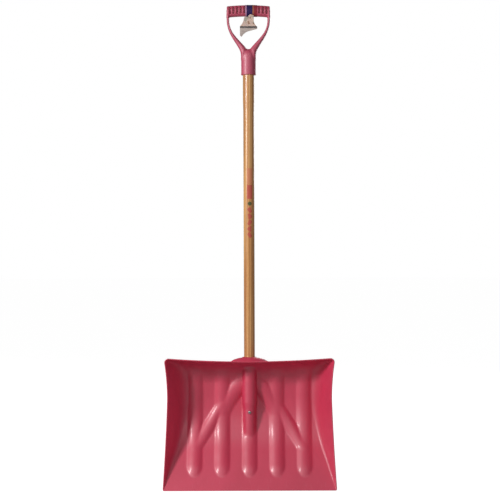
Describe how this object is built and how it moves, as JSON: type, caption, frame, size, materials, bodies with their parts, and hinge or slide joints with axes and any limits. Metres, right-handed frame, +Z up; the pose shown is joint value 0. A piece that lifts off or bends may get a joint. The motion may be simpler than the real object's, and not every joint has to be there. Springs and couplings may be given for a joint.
{
  "type": "snow shovel",
  "caption": "Snow shovel with a ribbed moulded plastic scoop, a round wooden shaft, a D-shaped grip and a hanging card tag.",
  "frame": {"origin": "middle of the cutting edge's flat foot", "axes": "+Z up the shaft, -Y out of the scoop's hollow side, +X to the right of someone who faces the hollow side"},
  "size_m": [0.4614, 0.1182, 1.2977],
  "materials": {
    "scoop_plastic": "satin, moulded, rose red",
    "grip_plastic": "satin, moulded, rose red",
    "shaft_wood": "varnished ash",
    "screw_steel": "zinc plated",
    "printed_film": "thin printed film with plain marks",
    "strap_paper": "printed paper band with plain stripes",
    "tag_card": "uncoated card with a dark stripe"
  },
  "bodies": {
    "shovel": {"blade": "scoop_plastic", "shaft": "shaft_wood", "shaft_film": "printed_film", "d_grip": "grip_plastic", "blade_screw": "screw_steel", "grip_screw": "screw_steel", "tag_strap": "strap_paper"},
    "tag": {"hang_tag": "tag_card"}
  },
  "joints": [
    {"name": "tag_swing", "type": "hinge", "parent": "shovel", "child": "tag", "pos_m": [0.0072, 0.08005, 1.2696], "axis": [1, 0, 0], "range_deg": [-120, 50]}
  ]
}
